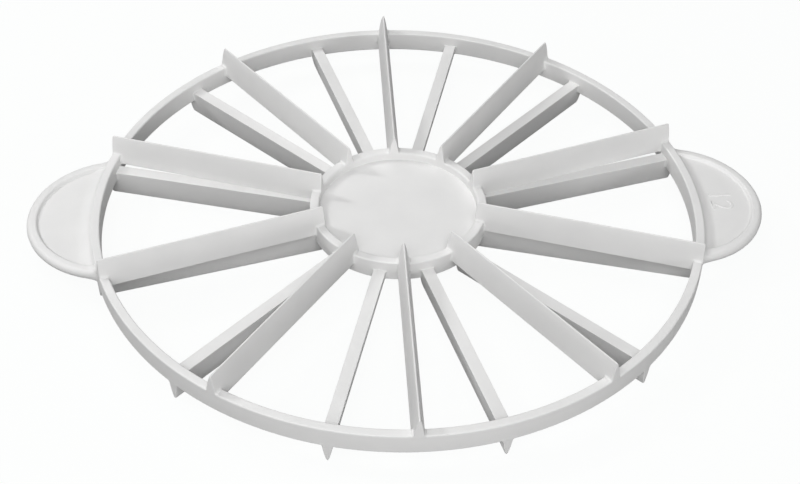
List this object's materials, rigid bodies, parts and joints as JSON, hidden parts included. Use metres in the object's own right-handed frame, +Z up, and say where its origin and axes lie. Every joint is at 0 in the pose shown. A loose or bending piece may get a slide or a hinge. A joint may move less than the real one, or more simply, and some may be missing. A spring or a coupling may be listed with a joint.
{
  "type": "cake marker",
  "caption": "Round double-sided cake marker: a plastic rim and recessed hub joined by wedge blades on both faces that press portion lines into a cake, with half-round finger tabs.",
  "frame": {"origin": "on the centre line of the hub, level with the cutting edges of the lower blades", "axes": "+X along the handles, +Y to the back, +Z up through the hub towards the upper blades"},
  "size_m": [0.3266, 0.27, 0.027],
  "materials": {
    "white_plastic": "satin moulded"
  },
  "bodies": {
    "root": {"rim": "white_plastic", "hub_ring": "white_plastic", "hub_web": "white_plastic", "handle_right": "white_plastic", "handle_left": "white_plastic", "upper_blade_01": "white_plastic", "upper_blade_02": "white_plastic", "upper_blade_03": "white_plastic", "upper_blade_04": "white_plastic", "upper_blade_05": "white_plastic", "upper_blade_06": "white_plastic", "upper_blade_07": "white_plastic", "upper_blade_08": "white_plastic", "upper_blade_09": "white_plastic", "upper_blade_10": "white_plastic", "lower_blade_01": "white_plastic", "lower_blade_02": "white_plastic", "lower_blade_03": "white_plastic", "lower_blade_04": "white_plastic", "lower_blade_05": "white_plastic", "lower_blade_06": "white_plastic", "lower_blade_07": "white_plastic", "lower_blade_08": "white_plastic", "lower_blade_09": "white_plastic", "lower_blade_10": "white_plastic", "lower_blade_11": "white_plastic", "lower_blade_12": "white_plastic"}
  },
  "joints": []
}
